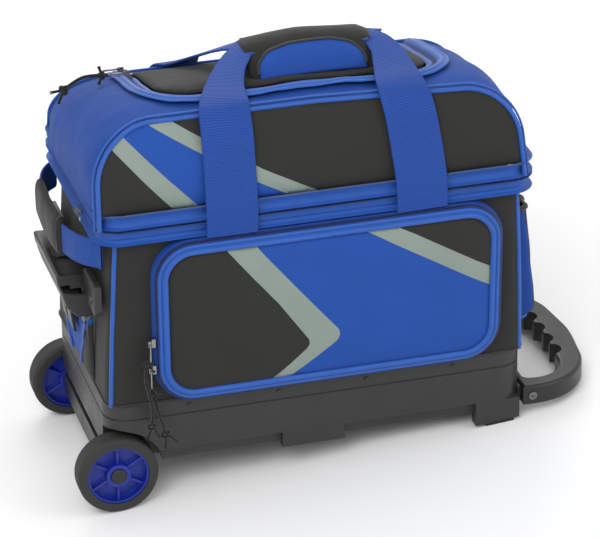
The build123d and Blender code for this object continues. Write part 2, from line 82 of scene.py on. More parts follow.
def make_camera():
    """A long lens at the photograph's viewing angle."""
    turn, rise, roll = (math.radians(v) for v in VIEW_ANGLES)
    level = math.cos(rise)
    back = Vector((math.sin(turn) * level, -math.cos(turn) * level, math.sin(rise)))
    right = Vector((math.cos(turn), math.sin(turn), 0))
    up = back.cross(right)
    side = right * math.cos(roll) + up * math.sin(roll)
    top = up * math.cos(roll) - right * math.sin(roll)
    place = Vector(VIEW_TARGET) + back * VIEW_DISTANCE
    data = bpy.data.cameras.new("camera")
    data.lens = VIEW_SCALE * VIEW_DISTANCE * SENSOR_WIDTH / PICTURE_WIDTH
    data.sensor_width = SENSOR_WIDTH
    data.clip_end = 50
    camera = linked("camera", data)
    aim = TURN.to_3x3() @ Matrix((side, top, back)).transposed()
    camera.matrix_world = Matrix.Translation(BAG @ place) @ aim.to_4x4()
    bpy.context.scene.camera = camera


make_camera()


# ---- material kit --------------------------------------------------------------------
DIMMED = 0.56   # allows for the bright studio
SHEEN_ROUGHNESS = 0.4
NOISE_LOW, NOISE_HIGH = 0.3, 0.7   # the range that nearly all the noise is in


def srgb(red, green, blue):
    """A colour given as 0 to 255 screen values."""
    values = [v / 255 for v in (red, green, blue)]
    linear = [v / 12.92 if v < 0.04045 else ((v + 0.055) / 1.055) ** 2.4 for v in values]
    return tuple(DIMMED * v for v in linear) + (1,)


class Graph:
    """A material's nodes, with the few links that its patterns need."""

    def __init__(self, name, colour, rough, metal=0.0, specular=0.5, sheen=0.0):
        self.material = bpy.data.materials.new(name)
        self.material.use_nodes = True
        self.tree = self.material.node_tree
        self.shader = self.tree.nodes["Principled BSDF"]
        self.colour = colour
        self.set("Base Color", colour)
        self.set("Roughness", rough)
        self.set("Metallic", metal)
        self.set("Specular IOR Level", specular)
        self.set("Sheen Weight", sheen)
        self.set("Sheen Roughness", SHEEN_ROUGHNESS)
        self.material.diffuse_color = colour

    def set(self, socket, value):
        self.shader.inputs[socket].default_value = value

    def node(self, kind, inputs=None, **settings):
        made = self.tree.nodes.new(kind)
        for key, value in settings.items():
            setattr(made, key, value)
        for key, value in (inputs or {}).items():
            self.feed(made.inputs[key], value)
        return made

    def feed(self, socket, value):
        if isinstance(value, bpy.types.NodeSocket):
            self.tree.links.new(value, socket)
        else:
            socket.default_value = value

    def calc(self, operation, first, second=0.0):
        return self.node("ShaderNodeMath", {0: first, 1: second}, operation=operation).outputs[0]

    def blend(self, first, share, second, other):
        """The sum of two values, each times its share."""
        return self.calc("ADD", self.calc("MULTIPLY", first, share),
                         self.calc("MULTIPLY", second, other))

    def vector(self, operation, first, second, output="Vector"):
        return self.node("ShaderNodeVectorMath", {0: first, 1: second},
                         operation=operation).outputs[output]

    def cut_plane(self):
        """Millimetres along and across the cut cloth."""
        where = self.node("ShaderNodeUVMap", uv_map="cut").outputs[0]
        parts = self.node("ShaderNodeSeparateXYZ", {0: where})
        return where, parts.outputs[0], parts.outputs[1]

    def solid(self):
        """Millimetres in the piece's own space."""
        place = self.node("ShaderNodeTexCoord").outputs["Object"]
        return self.vector("MULTIPLY", place, (PER_METRE, PER_METRE, PER_METRE))

    def cloud(self, where, size, detail=3.0, rough=0.5):
        """Soft noise whose blotches are about size millimetres across."""
        made = self.node("ShaderNodeTexNoise", {"Vector": where, "Scale": 1 / size,
                                                "Detail": detail, "Roughness": rough})
        return made.outputs[0]

    def spread(self, value, low, high):
        """Carry a noise's usual range on to low to high."""
        made = self.node("ShaderNodeMapRange", {"Value": value, "From Min": NOISE_LOW,
                                                "From Max": NOISE_HIGH, "To Min": low,
                                                "To Max": high})
        return made.outputs[0]

    def roughen(self, value, low, high):
        """Let a noise set the roughness."""
        self.feed(self.shader.inputs["Roughness"], self.spread(value, low, high))

    def tint(self, factor, darker, lighter):
        """Colour the shader between two shades of its colour."""
        low = tuple(v * darker for v in self.colour[:3]) + (1,)
        high = tuple(min(1, v * lighter) for v in self.colour[:3]) + (1,)
        mix = self.node("ShaderNodeMix", {0: factor, 6: low, 7: high}, data_type="RGBA")
        self.feed(self.shader.inputs["Base Color"], mix.outputs[2])

    def bump(self, height, depth_mm, strength=1.0, under=None):
        """Raise the surface by height, which runs from 0 to 1."""
        made = self.node("ShaderNodeBump", {"Height": height, "Distance": depth_mm / PER_METRE,
                                            "Strength": strength})
        if under is not None:
            self.feed(made.inputs["Normal"], under)
        self.feed(self.shader.inputs["Normal"], made.outputs[0])
        return made.outputs[0]


def wave(graph, along, pitch):
    """A row of rounded ridges, one for each pitch, from 0 to 1."""
    turned = graph.calc("MULTIPLY", along, math.pi / pitch)
    return graph.calc("ABSOLUTE", graph.calc("SINE", turned))


def woven(name, colour, pitch=1.3, depth=0.16, rough=0.75, sheen=0.12, crease=0.9, tone=0.10):
    """Plain-woven polyester, with slubs, soft blotches and shallow creases."""
    graph = Graph(name, colour, rough, specular=0.35, sheen=sheen)
    where, along, across = graph.cut_plane()
    weft = wave(graph, along, pitch)
    warp = wave(graph, across, pitch)
    weave = graph.calc("MULTIPLY", weft, warp)
    slub = graph.cloud(where, 2.2, 4, 0.65)
    blotch = graph.cloud(where, 55, 3)
    fold = graph.cloud(where, 38, 2, 0.4)
    shade = graph.blend(slub, 0.55, blotch, 0.45)
    graph.tint(graph.spread(shade, 0, 1), 1 - tone, 1 + tone)
    large = graph.bump(fold, crease * 3, 0.35)
    fine = graph.calc("ADD", weave, graph.calc("MULTIPLY", slub, 0.6))
    graph.bump(fine, depth, 0.8, under=large)
    graph.roughen(slub, rough - 0.06, rough + 0.08)
    return graph.material


def ribbed(name, colour):
    """Carry webbing: flat ribs across the band, fine yarns, painted shade darker between the ribs.
    """
    graph = Graph(name, colour, 0.62, specular=0.3, sheen=0.04)
    where, along, across = graph.cut_plane()
    rib = wave(graph, along, 2.7)
    yarn = wave(graph, across, 0.9)
    fuzz = graph.cloud(where, 1.6, 4, 0.7)
    lifted = graph.calc("POWER", rib, 0.55)
    # painted shade: the colour follows the rib height, darker in the hollows between the ribs
    graph.tint(graph.blend(lifted, 0.75, fuzz, 0.25), 0.62, 1.12)
    height = graph.calc("ADD", lifted, graph.calc("MULTIPLY", yarn, 0.14))
    graph.bump(graph.calc("ADD", height, graph.calc("MULTIPLY", fuzz, 0.15)), 0.55, 0.9)
    return graph.material


def corded(name, colour, pitch=1.1):
    """Bound edges and piping: a diagonal twill over a cord."""
    graph = Graph(name, colour, 0.5, specular=0.45, sheen=0.15)
    where, along, across = graph.cut_plane()
    slant = wave(graph, graph.calc("ADD", along, across), pitch)
    fuzz = graph.cloud(where, 1.4, 3, 0.6)
    blotch = graph.cloud(where, 30, 2)
    shade = graph.calc("MULTIPLY", graph.calc("ADD", fuzz, blotch), 0.5)
    graph.tint(graph.spread(shade, 0, 1), 0.86, 1.1)
    graph.bump(graph.calc("ADD", slant, fuzz), 0.18, 0.7)
    return graph.material


def coiled(name, colour):
    """Zipper coil: close turns along the closure, with painted shade darkening the gaps between the
    turns.
    """
    graph = Graph(name, colour, 0.38, specular=0.6)
    where, along, across = graph.cut_plane()
    turn = wave(graph, graph.calc("ADD", along, graph.calc("MULTIPLY", across, 0.4)), 1.7)
    fuzz = graph.cloud(where, 4, 2)
    # painted shade: the colour follows the turns, far darker in the gaps between them; the fuzz
    # adds random tone
    graph.tint(graph.calc("MULTIPLY", graph.calc("ADD", turn, fuzz), 0.6), 0.35, 1.15)
    graph.bump(turn, 0.8, 1.0)
    return graph.material


def moulded(name, colour, rough=0.48, grain=0.9, depth=0.07, wear=1.7, edge=1.2):
    """Injection-moulded plastic: fine grain, handling marks and paler worn edges."""
    graph = Graph(name, colour, rough, specular=0.5)
    where = graph.solid()
    pebble = graph.node("ShaderNodeTexVoronoi", {"Vector": where, "Scale": 1 / grain}).outputs[0]
    smear = graph.cloud(where, 34, 4, 0.6)
    soft = graph.node("ShaderNodeBevel", {"Radius": edge / PER_METRE}, samples=4).outputs[0]
    true = graph.node("ShaderNodeNewGeometry").outputs["Normal"]
    flatness = graph.vector("DOT_PRODUCT", soft, true, "Value")
    worn = graph.calc("MULTIPLY", graph.calc("SUBTRACT", 1.0, flatness), 2.2)
    patchy = graph.calc("MULTIPLY", worn, graph.spread(graph.cloud(where, 9, 4, 0.7), 0.3, 1.0))
    shade = graph.calc("ADD", graph.spread(smear, 0.0, 0.35), patchy)
    graph.tint(graph.calc("MINIMUM", shade, 1.0), 0.88, wear)
    graph.roughen(smear, rough - 0.08, rough + 0.1)
    graph.bump(pebble, depth, 0.6, under=soft)
    return graph.material


def metallic(name, colour, rough=0.3, lines=0.5):
    """Drawn or plated metal with fine scratches."""
    graph = Graph(name, colour, rough, metal=1.0)
    where = graph.solid()
    stretched = graph.vector("MULTIPLY", where, (1, 1, 0.08))
    scratch = graph.cloud(stretched, lines, 3, 0.7)
    dull = graph.cloud(where, 12, 3)
    graph.tint(graph.spread(dull, 0, 1), 0.8, 1.1)
    graph.roughen(scratch, rough - 0.1, rough + 0.15)
    graph.bump(scratch, 0.02, 0.5)
    return graph.material


def foamed(name, colour):
    """Open-cell foam, with painted shade darkening the pits of the cells."""
    graph = Graph(name, colour, 0.95, specular=0.1, sheen=0.1)
    where = graph.solid()
    cell = graph.node("ShaderNodeTexVoronoi", {"Vector": where, "Scale": 0.55}).outputs[0]
    blotch = graph.cloud(where, 25, 4, 0.6)
    # painted shade: darker in the pits of the cells, the same pits the bump sinks; the blotches are
    # random tone
    graph.tint(graph.calc("MULTIPLY", graph.calc("ADD", cell, blotch), 0.7), 0.7, 1.15)
    graph.bump(cell, 0.9, 0.7)
    return graph.material


def braided(name, colour):
    """Cord yarn, braided round the cord, with painted shade between the strands and painted light
    on their crossings.
    """
    graph = Graph(name, colour, 0.8, specular=0.3, sheen=0.3)
    where = graph.solid()
    parts = graph.node("ShaderNodeSeparateXYZ", {0: where})
    slant = graph.calc("ADD", parts.outputs[2], graph.calc("MULTIPLY", parts.outputs[0], 0.8))
    other = graph.calc("SUBTRACT", parts.outputs[2], graph.calc("MULTIPLY", parts.outputs[1], 0.8))
    braid = graph.calc("MULTIPLY", wave(graph, slant, 1.5), wave(graph, other, 1.5))
    fuzz = graph.cloud(where, 0.9, 3, 0.7)
    # painted shade in the gaps between the strands and painted light on their crossings, mixed with
    # random fuzz
    graph.tint(graph.blend(braid, 0.6, fuzz, 0.4), 0.45, 1.5)
    graph.bump(graph.calc("ADD", braid, fuzz), 0.4, 0.9)
    return graph.material


LOOKS = {
    "blue": woven("blue_cloth", srgb(22, 88, 192), tone=0.09, sheen=0.03),
    "black": woven("black_cloth", srgb(47, 47, 45), pitch=1.2, rough=0.82, sheen=0.08),
    "silver": woven("silver_cloth", srgb(160, 176, 166), pitch=1.1, depth=0.08, rough=0.5,
                    crease=0.3),
    "lining": woven("lining_cloth", srgb(58, 60, 66), pitch=0.9, depth=0.08, rough=0.7),
    "gusset": woven("gusset_cloth", srgb(18, 82, 184), crease=1.5, sheen=0.03),
    "webbing": ribbed("blue_webbing", srgb(26, 84, 186)),
    "piping": corded("blue_piping", srgb(30, 106, 216)),
    "black_piping": corded("black_binding", srgb(40, 40, 39)),
    "coil": coiled("zipper_coil", srgb(14, 52, 132)),
    "pad": woven("padded_black", srgb(44, 44, 42), pitch=1.5, rough=0.85, crease=1.4),
    "charcoal": moulded("charcoal_plastic", srgb(50, 50, 50), rough=0.42),
    "handle": moulded("handle_plastic", srgb(30, 30, 31), rough=0.38, wear=2.0),
    "rim_blue": moulded("rim_plastic", srgb(10, 46, 176), rough=0.36, wear=1.4),
    "tyre": moulded("tyre_rubber", srgb(52, 52, 50), rough=0.7, grain=0.7, depth=0.12, wear=1.5),
    "rubber": moulded("foot_rubber", srgb(36, 36, 36), rough=0.8, depth=0.1, wear=1.3),
    "nylon": moulded("nylon", srgb(34, 34, 34), rough=0.4, depth=0.03),
    "board": moulded("floor_board_cover", srgb(60, 62, 66), rough=0.8, grain=1.1, depth=0.12),
    "steel": metallic("steel", srgb(160, 160, 162), 0.32),
    "nickel": metallic("nickel", srgb(190, 190, 192), 0.24),
    "aluminium": metallic("aluminium", srgb(178, 180, 184), 0.34),
    "foam": foamed("foam", srgb(64, 64, 66)),
    "cord": braided("cord_yarn", srgb(26, 25, 25)),
}


# ---- shape kit -----------------------------------------------------------------------
def rounded(corners, radii, gap=5.0, closed=True):
    """An outline through the corners, each rounded by its radius, in steps of about gap."""
    points = []
    count = len(corners)
    for index, corner in enumerate(corners):
        here = Vector(corner)
        if radii[index] == 0 or (not closed and index in (0, count - 1)):
            points.append(here)
            continue
        back = (Vector(corners[index - 1]) - here).normalized()
        ahead = (Vector(corners[(index + 1) % count]) - here).normalized()
        half = back.angle(ahead) / 2
        centre = here + (back + ahead).normalized() * radii[index] / math.sin(half)
        start = here + back * radii[index] / math.tan(half) - centre
        end = here + ahead * radii[index] / math.tan(half) - centre
        sweep = start.angle(end)
        steps = max(3, math.ceil(sweep * radii[index] / gap))
        for step in range(steps + 1):
            share = step / steps
            bent = start * math.sin((1 - share) * sweep) + end * math.sin(share * sweep)
            points.append(centre + bent / math.sin(sweep))
    return spaced(points, gap, closed)


def spaced(points, gap, closed=False):
    """The same line with points added so that no step is much longer than gap."""
    points = [Vector(p) for p in points]
    ends = points[1:] + points[:1] if closed else points[1:]
    result = []
    for here, after in zip(points, ends):
        steps = max(1, round((after - here).length / gap))
        result += [here.lerp(after, step / steps) for step in range(steps)]
    if not closed:
        result.append(points[-1])
    return result


def curved(points, gap=4.0):
    """A smooth line through given points."""
    points = [Vector(p) for p in points]
    padded = [2 * points[0] - points[1]] + points + [2 * points[-1] - points[-2]]
    result = []
    for a, b, c, d in zip(padded, padded[1:], padded[2:], padded[3:]):
        steps = max(2, math.ceil((c - b).length / gap))
        for step in range(steps):
            t = step / steps
            result.append(0.5 * (2 * b + (c - a) * t + (2 * a - 5 * b + 4 * c - d) * t * t
                                 + (3 * b - a - 3 * c + d) * t ** 3))
    result.append(points[-1])
    return result


def lengths(points):
    """How far along the line each of its points is."""
    reach = [0.0]
    for here, after in zip(points, points[1:]):
        reach.append(reach[-1] + (after - here).length)
    return reach


def headings(path, closed=False):
    """Which way the path runs at each of its points."""
    result = []
    count = len(path)
    for index in range(count):
        before = path[index - 1] if closed or index else path[0]
        after = path[(index + 1) % count] if closed or index < count - 1 else path[-1]
        result.append((after - before).normalized())
    return result


def normals_2d(path, closed):
    """The unit normals, to the right of the way the flat path runs."""
    return [Vector((run.y, -run.x)) for run in headings(path, closed)]


def turns(count):
    """The angles of count steps once round, with both ends."""
    return [2 * math.pi * k / count for k in range(count + 1)]


def puffed(inward, full, soft):
    """How far stuffed cloth stands up at a distance in from its edge."""
    return full * (1 - math.exp(-inward / soft))


def holds(outline, points):
    """Which of the points lie inside the closed outline."""
    line = np.array([tuple(p) for p in outline])
    x, y = points[:, 0][:, None], points[:, 1][:, None]
    x0, y0 = line[:, 0][None], line[:, 1][None]
    x1, y1 = np.roll(line[:, 0], -1)[None], np.roll(line[:, 1], -1)[None]
    rise = np.where(y1 == y0, 1e-12, y1 - y0)
    crosses = ((y0 > y) != (y1 > y)) & (x < (x1 - x0) * (y - y0) / rise + x0)
    return crosses.sum(1) % 2 == 1


def away(line, points, closed=True):
    """How far each point is from the line."""
    line = np.array([tuple(p) for p in line])
    start = line if closed else line[:-1]
    run = (np.roll(line, -1, 0) if closed else line[1:]) - start
    length = np.maximum((run ** 2).sum(1), 1e-9)
    reach = points[:, None, :] - start[None]
    share = np.clip((reach * run[None]).sum(2) / length[None], 0, 1)
    return np.sqrt(((reach - share[..., None] * run[None]) ** 2).sum(2)).min(1)


ROW_SHARE = 0.87    # the height of a row of even triangles, for a side of 1
EDGE_SHARE = 0.55   # how much of a side inner points keep from an edge
CUT_SHARE = 0.5     # and from a cut
FAR = 99.0          # mm, further than any seam reaches


class Cloth:
    """A growing mesh in the bag's axes: points, faces, cut-cloth places and looks."""

    def __init__(self):
        self.points, self.faces, self.flat, self.looks = [], [], [], []

    def add(self, points, faces, flat, looks):
        start = len(self.points)
        self.points += points
        self.flat += flat
        self.faces += [tuple(start + i for i in face) for face in faces]
        self.looks += looks if isinstance(looks, list) else [looks] * len(faces)
        return self

    def grid(self, rows, flat):
        """Quads between rows of points."""
        wide = len(rows[0])
        points = [p for row in rows for p in row]
        faces = []
        for r in range(len(rows) - 1):
            for c in range(wide - 1):
                at = r * wide + c
                faces.append((at, at + 1, at + wide + 1, at + wide))
        return self.add(points, faces, [f for row in flat for f in row], 0)

    def cap(self, row):
        """Close a ring of points with a fan."""
        faces = [(i, i + 1, len(row)) for i in range(len(row) - 1)]
        middle = sum(row, Vector()) / len(row)
        return self.add(row + [middle], faces, [(p.y, p.z) for p in row] + [(0, 0)], 0)

    def strip(self, stations, profile, closed=False):
        """Sweep a profile of (across, up) along stations of (point, across, up)."""
        if closed:
            stations = stations + stations[:1]
        walked = [0.0]
        for (a0, h0), (a1, h1) in zip(profile, profile[1:]):
            walked.append(walked[-1] + math.hypot(a1 - a0, h1 - h0))
        rows = [[place + across * a + up * h for a, h in profile]
                for place, across, up in stations]
        flat = [[(along, w) for w in walked] for along in lengths([s[0] for s in stations])]
        return self.grid(rows, flat)

    def tube(self, path, radius, closed=False, sides=10):
        """A round cord along a path."""
        hint = Vector((0.13, 0.21, 0.97))
        stations = []
        for point, run in zip(path, headings(path, closed)):
            hint = (hint - run * hint.dot(run)).normalized()
            stations.append((point, run.cross(hint), hint.copy()))
        ring = [(radius * math.cos(t), radius * math.sin(t)) for t in turns(sides)]
        return self.strip(stations, ring, closed)

    def fill(self, outline, place, gap, holes=(), cuts=(), look=None):
        """Fill an outline with triangles, cut along lines.

        place(u, v, edge, seam) puts each point in space; edge and seam are its distances
        from the nearest edge and the nearest cut."""
        points, edges = [], []
        shut_lines = [(line, True) for line in (outline, *holes)]
        for line, shut in shut_lines + [(cut, False) for cut in cuts]:
            start = len(points)
            points += [Vector((p[0], p[1])) for p in line]
            last = len(points) - 1
            edges += [(k, k + 1) for k in range(start, last)]
            if shut:
                edges.append((last, start))
        line = np.array([tuple(p) for p in outline])
        low, high = line.min(0), line.max(0)
        inner = []
        rows = int((high[1] - low[1]) / (gap * ROW_SHARE)) + 1
        for r in range(rows):
            first = low[0] + (gap / 2 if r % 2 else 0)
            inner += [(x, low[1] + r * gap * ROW_SHARE) for x in np.arange(first, high[0], gap)]
        inner = np.array(inner)
        keep = holds(outline, inner) & (away(outline, inner) > gap * EDGE_SHARE)
        for hole in holes:
            keep &= ~holds(hole, inner) & (away(hole, inner) > gap * EDGE_SHARE)
        for cut in cuts:
            keep &= away(cut, inner, False) > gap * CUT_SHARE
        points += [Vector(p) for p in inner[keep]]
        verts, _, faces, *_ = delaunay_2d_cdt(points, edges, [], 0, 1e-4)
        flat = np.array([tuple(v) for v in verts])
        centres = np.array([flat[list(f)].mean(0) for f in faces])
        inside = holds(outline, centres)
        for hole in holes:
            inside &= ~holds(hole, centres)
        kept = [f for f, ok in zip(faces, inside) if ok]
        edge = away(outline, flat)
        for hole in holes:
            edge = np.minimum(edge, away(hole, flat))
        seam = np.full(len(flat), FAR)
        for cut in cuts:
            seam = np.minimum(seam, away(cut, flat, False))
        looks = 0 if look is None else look(centres[inside])
        lifted = [Vector(place(u, v, d, c)) for (u, v), d, c in zip(flat, edge, seam)]
        return self.add(lifted, kept, [tuple(f) for f in flat], looks)


def piece(name, cloth, body, looks, thick=0.0, lining=None, inside=MIDDLE, closed=False):
    """Turn a Cloth into a named piece that rides on a CAD body."""
    mesh = bpy.data.meshes.new(name)
    mesh.from_pydata([BAG @ Vector(p) for p in cloth.points], [], cloth.faces)
    layer = mesh.uv_layers.new(name="cut")
    loops = np.array([cloth.flat[loop.vertex_index] for loop in mesh.loops], np.float32)
    layer.data.foreach_set("uv", loops.ravel())
    for look in looks:
        mesh.materials.append(LOOKS[look])
    mesh.polygons.foreach_set("material_index", cloth.looks)
    made = bmesh.new()
    made.from_mesh(mesh)
    made.normal_update()
    loose = [v for v in made.verts if not v.link_faces]
    bmesh.ops.delete(made, geom=loose, context="VERTS")
    bmesh.ops.remove_doubles(made, verts=made.verts, dist=1e-6)
    if closed:
        bmesh.ops.recalc_face_normals(made, faces=made.faces)
    else:
        heart = BAG @ Vector(inside)
        facing = sum(f.normal.dot(f.calc_center_median() - heart) * f.calc_area()
                     for f in made.faces)
        if facing < 0:
            bmesh.ops.reverse_faces(made, faces=made.faces)
    made.to_mesh(mesh)
    made.free()
    mesh.polygons.foreach_set("use_smooth", [True] * len(mesh.polygons))
    obj = linked(name, mesh)
    if thick:
        if lining:
            mesh.materials.append(LOOKS[lining])
        solid = obj.modifiers.new("thick", "SOLIDIFY")
        solid.thickness = thick / PER_METRE
        solid.offset = -1
        solid.material_offset = len(looks) if lining else 0
        settle(obj)
    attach(obj, body)
    return obj


def trim(name, cloth, body, look="piping"):
    """A blue edge: piping, a zipper's band or its coil."""
    return piece(name, cloth, body, [look])


def binding(name, cloth, body):
    """A black bound edge."""
    return piece(name, cloth, body, ["black_piping"])


def settle(obj):
    """Apply every modifier."""
    graph = bpy.context.evaluated_depsgraph_get()
    graph.update()
    final = bpy.data.meshes.new_from_object(obj.evaluated_get(graph))
    old = obj.data
    obj.modifiers.clear()
    obj.data = final
    bpy.data.meshes.remove(old)


def ripple(x, y, z, size, amount):
    """A shallow, unhurried unevenness of cloth."""
    return amount * noise.noise(Vector((x, y, z)) / size)


def dress(look, *nodes):
    """Give CAD nodes a finished material."""
    for name in nodes:
        for held in frame["nodes"][name].material_slots:
            held.link = "OBJECT"
            held.material = LOOKS[look]


# ---- cords ---------------------------------------------------------------------------
CORD_ROUTES = {
    "pocket_upper": ((-194.9, -136.5, 132.9), (-197.2, -136.9, 129.9), (-201.2, -138.2, 124.0),
                     (-201.8, -141.0, 112.0), (-199.0, -144.8, 96.0), (-196.2, -146.6, 79.0),
                     (-197.4, -147.8, 64.0)),
    "pocket_lower": ((-194.9, -136.5, 101.1), (-193.6, -139.0, 94.0), (-191.4, -143.6, 83.0),
                     (-188.6, -147.6, 68.0), (-184.2, -149.0, 53.0)),
    "top_front": ((-188.2, 53.3, 388.2), (-195.2, 53.1, 388.7), (-207.0, 52.2, 390.4),
                  (-222.0, 49.2, 390.2), (-237.0, 44.5, 382.5)),
}
CORD_D = 3.8


def tied(route):
    """The knots at both ends of a cord, with their short frayed tails."""
    cloth = Cloth()
    for index, step, size, tail in ((1, 2, 1.15, 9), (-1, -2, 1.6, 15)):
        middle = Vector(route[index])
        run = (Vector(route[index]) - Vector(route[step])).normalized()
        if index < 0:
            middle += run * 2.5
        side = run.cross(Vector((0.3, -1, 0.4))).normalized()
        out = side.cross(run)
        loop = []
        for t in turns(48)[:-1]:
            trefoil = (side * (math.sin(t) + 2 * math.sin(2 * t))
                       + run * (math.cos(t) - 2 * math.cos(2 * t)) - out * math.sin(3 * t))
            loop.append(middle + size * trefoil)
        cloth.tube(loop, CORD_D / 2 - 0.1, closed=True)
        for lean in (-0.55, 0.5):
            way = (run * (1 if index < 0 else -0.2) + side * lean + out * 0.12).normalized()
            ends = [middle + way * (tail * k / 4) + out * 0.5 * math.sin(k) for k in range(5)]
            cloth.tube(ends, CORD_D / 2 - 0.3)
            cloth.tube([ends[-1], ends[-1] + way * 1.2], CORD_D / 2 + 0.3, sides=7)
    return cloth


def add_cords():
    """The cord pulls that hang from three of the zipper tabs."""
    for name, route in CORD_ROUTES.items():
        points = [BAG @ Vector(p) for p in route]
        data = bpy.data.curves.new(name + "_pull", "CURVE")
        data.dimensions = "3D"
        spline = data.splines.new("NURBS")
        spline.points.add(len(points) - 1)
        for target, source in zip(spline.points, points):
            target.co = (*source, 1)
        spline.order_u = 3
        spline.use_endpoint_u = True
        spline.resolution_u = 12
        data.bevel_depth = CORD_D / 2 / PER_METRE
        data.bevel_resolution = 4
        data.use_fill_caps = True
        data.materials.append(LOOKS["cord"])
        obj = linked(name + "_pull", data)
        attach(obj, name + "_cord")
        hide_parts(name + "_cord")
        knot = piece(name + "_knots", tied(route), name + "_cord", ["cord"], closed=True)


add_cords()


# ---- CAD nodes that stay -------------------------------------------------------------
dress("charcoal", "base_tub", "handle_bracket", "bracket_tab", "tube_feet", "skirt_rivets")
dress("handle", "pull_loop", "telescope_grip", "release_button")
dress("nylon", "axle_bushes", "hub_cap_front", "hub_cap_rear")
dress("steel", "wheel_axle", "pull_loop_screws", "bracket_screws")
dress("rubber", "rubber_feet")
dress("tyre", "tyre_front", "tyre_rear")
dress("rim_blue", "rim_front", "rim_rear")
dress("aluminium", "outer_tubes", "lower_stage_tubes", "middle_stage_tubes", "upper_stage_tubes")
dress("board", "lid_floor_board")
for pull in ("pocket_upper", "pocket_lower", "top_front", "top_rear", "lid"):
    dress("nickel", pull + "_slider", pull + "_tab")


# ---- ball compartment ----------------------------------------------------------------
WALL_Z0, WALL_Z1 = 76.6, 281.0
WALL_X0, WALL_X1, WALL_Y = -241.0, 232.5, 125
WALL_R = 16.0
WALL_STEPS = 34
HEM_Z = 77.6


def wall_rise(z):
    """How far up the walls a height is, from 0 to 1."""
    return (z - WALL_Z0) / (WALL_Z1 - WALL_Z0)


def wall_x(z, side):
    """The end walls' X at a height."""
    rise = wall_rise(z)
    return WALL_X0 + 11.5 * rise if side < 0 else WALL_X1 - 6.0 * rise


def plan_ring(x0, x1, half_y, corner, gap=6.0):
    """A rounded rectangle that starts in the middle of the rear side."""
    corners = ((0, half_y), (x0, half_y), (x0, -half_y), (x1, -half_y), (x1, half_y))
    return rounded(corners, (0, corner, corner, corner, corner), gap)


def add_walls():
    """The black fabric walls, their lining, the corner piping and the skirt's edge."""
    steps = range(WALL_STEPS + 1)
    heights = [WALL_Z0 + (WALL_Z1 - WALL_Z0) * k / WALL_STEPS for k in steps]
    base = plan_ring(WALL_X0, WALL_X1, WALL_Y, WALL_R)
    base.append(base[0])
    centre = Vector((-4.5, 0))
    rows, flat = [], []
    along = lengths(base)
    for z in heights:
        rise = wall_rise(z)
        belly = 2.4 * math.sin(math.pi * rise) ** 0.7
        row = []
        for point in base:
            lean = 0.0486 if point.x < centre.x else 0.0255
            x = centre.x + (point.x - centre.x) * (1 - lean * rise)
            out = Vector((point.x - centre.x, point.y * 1.9)).normalized()
            crease = ripple(point.x, point.y, z, 46, 2.0)
            crease += ripple(point.x, point.y, z * 0.5, 18, 0.9)
            lift = belly * 0.5 + crease * math.sin(math.pi * rise)
            row.append(Vector((x + out.x * lift * 0.6, point.y + out.y * lift * 0.8, z)))
        rows.append(row)
        flat.append([(a, z) for a in along])
    walls = piece("ball_walls", Cloth().grid(rows, flat), "base", ["black"],
                  thick=4.5, lining="lining")
    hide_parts("ball_compartment")
    trims = Cloth()
    for x_side in (-1, 1):
        for y_side in (-1, 1):
            line = []
            for z in heights[:-1]:
                x = wall_x(z, x_side) - x_side * WALL_R * 0.3
                belly = math.sin(math.pi * wall_rise(z))
                y = y_side * (WALL_Y - WALL_R * 0.3 + belly)
                line.append(Vector((x + x_side * belly, y, z)))
            trims.tube(line, 2.6)
    trim("wall_corner_piping", trims, "base")
    ring = plan_ring(-241.4, 232.9, 124.9, WALL_R, 8)
    hem = [Vector((p.x, p.y, HEM_Z)) for p in ring]
    binding("skirt_binding", Cloth().tube(hem, 1.5, closed=True), "base")


def band_stations(ring):
    """Stations round a level ring, with across pointing outward."""
    normals = normals_2d(ring, True)
    return [(Vector((p.x, p.y, 0)), Vector((-n.x, -n.y, 0)), Vector((0, 0, 1)))
            for p, n in zip(ring, normals)]


def add_zipper_band():
    """The two halves of the band round the main zipper, with their piping and coil."""
    ring = plan_ring(-244.2, 238.3, 130.6, 25, 5)
    stations = band_stations(ring)
    lower = ((-5, 273.8), (0.6, 274.2), (2.6, 275.4), (3.3, 277.2), (2.7, 279.0), (1.1, 280.2),
             (0.7, 280.9), (1.6, 281.6), (2.1, 283.6), (1.9, 286.0), (1.0, 287.6), (-1.5, 288.3),
             (-5, 288.4))
    upper = ((-5, 292.3), (-1.0, 292.5), (1.4, 293.4), (2.6, 295.8), (2.8, 299.4), (2.2, 302.2),
             (0.9, 303.6), (0.5, 304.2), (1.2, 304.9), (1.5, 306.0), (0.9, 307.1), (-5, 307.6))
    body = trim("body_zipper_band", Cloth().strip(stations, lower, closed=True), "base")
    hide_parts("body_zipper_rim")
    lid = trim("lid_zipper_band", Cloth().strip(stations, upper, closed=True), "lid")
    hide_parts("lid_zipper_rim")
    for name, z, owner in (("lower", 289.2, "base"), ("upper", 291.6, "lid")):
        coil = Cloth().tube([p + a * 0.2 + Vector((0, 0, z)) for p, a, _ in stations], 1.25,
                            closed=True, sides=8)
        trim(name + "_zipper_coil", coil, owner, "coil")


add_walls()
add_zipper_band()


# ---- upper compartment ---------------------------------------------------------------
D_CORNERS = ((-243.5, 292), (-240.5, 400.5), (0, 400.5), (220, 392.5), (228, 292))
D_RADII = (0, 64, 0, 62, 0)
D_LINE = rounded(D_CORNERS, D_RADII, 5, closed=False)
D_NORMALS = [-n for n in normals_2d(D_LINE, False)]
D_ALONG = lengths(D_LINE)
LID_Z0 = 291
FRONT_LEAN = ((291, -129.3), (306, -127.6), (340, -122.5), (370, -116.0), (390, -109.5),
              (402, -103.0))


def front_y(z):
    """How far forward the upper compartment's front edge is at a height."""
    return float(np.interp(z, [p[0] for p in FRONT_LEAN], [p[1] for p in FRONT_LEAN]))


def rear_y(z):
    """The same at the back."""
    return -front_y(z)


